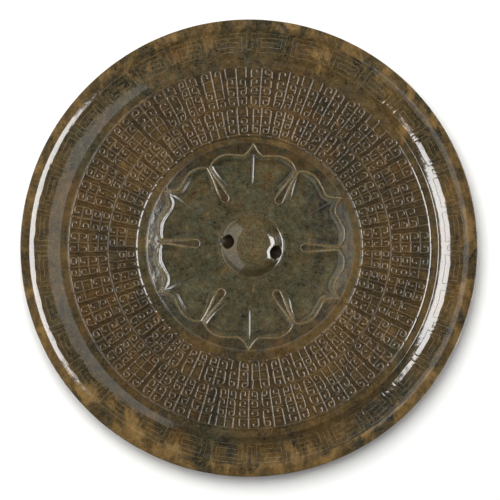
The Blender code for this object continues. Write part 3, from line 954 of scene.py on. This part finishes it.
# %% Carve the ridges and drops
tip_x = placed * np.sin(share * math.pi / 6)
from_tip = np.clip((WELL_RADIUS - placed) / VEIN_LENGTH, 0.0, 1.0)
vein_half = 0.95 - 0.35 * from_tip + 1.0 * (1 - smooth_step(4 * from_tip))
vein_fade = smooth_step(3.5 * (1 - from_tip)) * smooth_step((WELL_RADIUS - placed) / 1.5)
vein = VEIN_RISE * np.clip(1 - tip_x / vein_half, 0.0, 1.0) ** 2 * vein_fade
beyond_bulb = np.maximum(DROP_BULB[0] - along, 0.0)
into_bulb = DROP_BULB[1] - np.hypot(beside, beyond_bulb)
into_drop = np.where(beyond_bulb > 0, into_bulb, drop_half(along) - beside)
drop_fade = smooth_step((36.5 - along) / 2.5)
drop = DROP_RISE * smooth_step(0.3 + into_drop / 0.4) * drop_fade - 0.1 * smooth_step(into_drop / 1.2)
drop = np.where(between_tails | (into_drop > -0.3), drop, 0.0)
from_boss = placed - boss_edge
collar = BOSS_COLLAR[1] * (1 - smooth_step((from_boss - BOSS_COLLAR[0] + 0.45) / 0.45))
relief = well + np.maximum.reduce([lip, vein, drop]) + collar
relief = np.where(placed >= WELL_RADIUS - 1e-6, RING_HEIGHT, relief)

# %% Paint the flower and lay it down
in_well = on_top & (placed < chamfer_foot)
# painted shade: a dark line in the crease outside each lip
crease_shade_line = np.exp(-((from_edge - 0.32) / 0.25) ** 2) * ~inside_petal * tail_fade
# painted shade: a dark band in the dish just inside each lip
under_lip_shade = np.exp(-((from_edge - LIP_INNER * narrow - 0.3) / 0.6) ** 2) * inside_petal * tail_fade
# edge wear and a painted highlight: a pale line along each lip's outline
outline_wear_and_highlight = np.exp(-(from_edge / 0.3) ** 2) * tail_fade
drop_line = np.exp(-(into_drop / 0.28) ** 2) * (between_tails | (beyond_bulb > 0)) * (into_drop < 0.6)
# painted shade: dark flanks on either side of each ridge
vein_flank_shade = np.exp(-((tip_x - 0.5) / 0.25) ** 2) * vein_fade
pale = np.maximum(0.75 * outline_wear_and_highlight, 0.5 * drop_line)
rubbed = np.maximum.reduce([
    0.95 * crease_shade_line, 0.55 * drop_line, 0.25 * ((fall > 0.01) & (fall < 0.99) & inside_petal),
    0.25 * (vein > 0.02), 0.7 * (placed > chamfer_foot - 0.05),
])

# painted light: the well's wall is greyed at the left and right as a painted reflection of the side
# lights, and darkened at the top and bottom as painted shade; the ring round it is greyer at the sides
sideways = np.sin(in_flower) ** 2
wall_painted_shade = 0.4 * (1 - sideways) * ~inside_petal
# painted shade: the flower's hollow layer here is all painted shade
hollow = np.maximum.reduce([0.85 * crease_shade_line, 0.4 * under_lip_shade, 0.4 * vein_flank_shade, wall_painted_shade])

# the flower stands a little to the upper right of the disc's middle, and the ring round it doesn't
moved = np.clip((INNER_FIELD - placed) / (INNER_FIELD - WELL_RADIUS), 0.0, 1.0)
x, y = across_and_up(placed, in_flower)
x, y = x + FLOWER_MIDDLE[0] * moved, y + FLOWER_MIDDLE[1] * moved
write_places(flower_mesh, np.hypot(x, y), np.arctan2(-x, y), np.where(on_top, relief, height))
lay_down(
    flower_mesh, "flower", 70.0, hollow=np.where(in_well, hollow, 0.0), pale=np.where(on_top, pale, 0.0),
    carved=np.where(on_top & (placed < WELL_RADIUS), rubbed, 0.0),
    fresh=on_top * np.where(in_well, 0.55 + 0.35 * inside_petal, 0.5 * sideways),
    # painted reflection: more slate on the well's wall at the left and right
    slate=on_top * np.where(in_well & ~inside_petal, 0.3 + 0.5 * sideways, 0.2),
)

# %% [markdown]
# ## Boss and cord hole
# The boss is a round cushion, nearly a piece of a ball on top and steep at its sides, and its
# foot is a crisp line. Two bores slant in from its sides and meet under its crown, so a cord can
# be drawn through and the mirror hung up. Such holes are drilled with a tube and abrasive. Here
# each bore is a cylinder that a Boolean modifier cuts out. The mouths are worn round, so the
# boss's surface is let down round each bore before the cut.

# %% Sizes of the boss and its bores, in mm
BOSS_PROFILE = (
    (0.0, 4.9), (4.1, 4.81), (6.7, 4.48), (8.0, 4.06), (9.2, 3.35), (10.3, 2.35), (11.4, 1.1),
    (12.0, 0.42), (12.5, 0.25), (13.0, BOSS_COLLAR[1]),
)
CROWN_OFFSET = (1.6, -0.4)
BOSS_FOOT = 12.25
CORD_BORE = 5.5
BORE_LENGTH = 18.0
CORD_MOUTH = 10.3
CORD_UNDER_WALL = 2.7
CORD_TURN = -12.6
CORD_ASIDE = -0.45
MOUTH_WEAR = 0.7

mouth_height = FLOOR + float(through(BOSS_PROFILE, np.array([CORD_MOUTH]))[0])
meeting_height = CORD_UNDER_WALL + CORD_BORE / 2
steepness = math.atan2(mouth_height - meeting_height, CORD_MOUTH)
cord_turn = math.radians(CORD_TURN)
print("bores rise at", round(math.degrees(steepness)), "degrees and meet at height", meeting_height)


def off_bore(x, y, height):
    """How far a place in the boss is from the axis of the bore on its own side, in mm."""
    across = -x * math.sin(cord_turn) + y * math.cos(cord_turn) - CORD_ASIDE
    along = np.abs(x * math.cos(cord_turn) + y * math.sin(cord_turn))
    below = along * math.sin(steepness) - (height - meeting_height) * math.cos(steepness)
    return np.hypot(across, below), along


# %% Turn the boss and wear its mouths
boss_radii = np.concatenate([np.linspace(BOSS_RADIUS, 11.6, 12)[:-1], np.linspace(11.6, 0.0, 46)])
boss_section = [(0.0, CORE), (BOSS_RADIUS, CORE)] + [(r, FLOOR + 1.0) for r in boss_radii]
boss_mesh = finish_mesh(spin_section(boss_section, 288, 12, closed=False), "boss")
radius, turn, height = read_places(boss_mesh)
x, y = across_and_up(radius, turn)
settle = 1 - (radius / BOSS_RADIUS) ** 2
from_crown = np.hypot(x - CROWN_OFFSET[0] * settle, y - CROWN_OFFSET[1] * settle)
crowned = FLOOR + through(BOSS_PROFILE, np.minimum(from_crown, BOSS_RADIUS))
on_top = height > CORE + 1
height = np.where(on_top, crowned, height)
off_axis, along = off_bore(x, y, height)
wear = MOUTH_WEAR * np.clip(1 - (off_axis - CORD_BORE / 2) / 1.1, 0.0, 1.3) ** 2
wear = wear * smooth_step((12.2 - radius) / 0.8)
height = np.where(on_top & (along > 2.0) & (radius < BOSS_RADIUS - 0.2), height - 0.6 * wear, height)
write_places(boss_mesh, radius, turn, np.where(on_top, np.maximum(height, FLOOR - 0.4), height))

# %% Cut the bores
boss = put_in_scene("boss_blank", boss_mesh)
cutters = []
for side in (1, -1):
    bm = bmesh.new()
    bore, depth = CORD_BORE / 2 * MM, BORE_LENGTH * MM
    bmesh.ops.create_cone(bm, cap_ends=True, segments=64, radius1=bore, radius2=bore, depth=depth)
    bmesh.ops.translate(bm, verts=bm.verts, vec=(0, 0, depth / 2))
    lean = math.pi / 2 - steepness
    cutter = put_in_scene("bore", mesh_from(bm, "bore"))
    middle = (-CORD_ASIDE * math.sin(cord_turn), CORD_ASIDE * math.cos(cord_turn), meeting_height)
    cutter.location = [distance * MM for distance in middle]
    cutter.rotation_euler = (0, lean if side > 0 else -lean, cord_turn)
    cut_out = boss.modifiers.new("bore", "BOOLEAN")
    cut_out.operation = "DIFFERENCE"
    cut_out.solver = "EXACT"
    cut_out.object = cutter
    cutters.append(cutter)
bpy.context.view_layer.update()
cut_mesh = bpy.data.meshes.new_from_object(boss.evaluated_get(bpy.context.evaluated_depsgraph_get()))
for spent in cutters + [boss]:
    bpy.data.objects.remove(spent)
cut_mesh.name = "boss"

# %% Set the boss in its place, darken the bores and paint shade round its foot
bm = bmesh.new()
bm.from_mesh(cut_mesh)
bmesh.ops.translate(bm, verts=bm.verts, vec=(BOSS_MIDDLE[0] * MM, BOSS_MIDDLE[1] * MM, 0))
bm.to_mesh(cut_mesh)
bm.free()
radius, turn, height = read_places(cut_mesh)
x, y = across_and_up(radius, turn)
x, y = x - BOSS_MIDDLE[0], y - BOSS_MIDDLE[1]
off_axis, along = off_bore(x, y, height)
in_bore = (off_axis < CORD_BORE / 2 + 0.05) & (height > CORE + 0.5)
# painted shade: a dark line round the boss's foot; the bores' insides are painted dark brown
boss_foot_shade = np.exp(-((np.hypot(x, y) - BOSS_FOOT) / 0.3) ** 2)
lay_down(
    cut_mesh, "boss", 40.0, hollow=np.maximum(0.8 * in_bore, 0.5 * boss_foot_shade), carved=0.8 * in_bore,
    pale=0.16 * (height > CORE) * ~in_bore, fresh=0.75 * (height > CORE), rust=0.25,
)
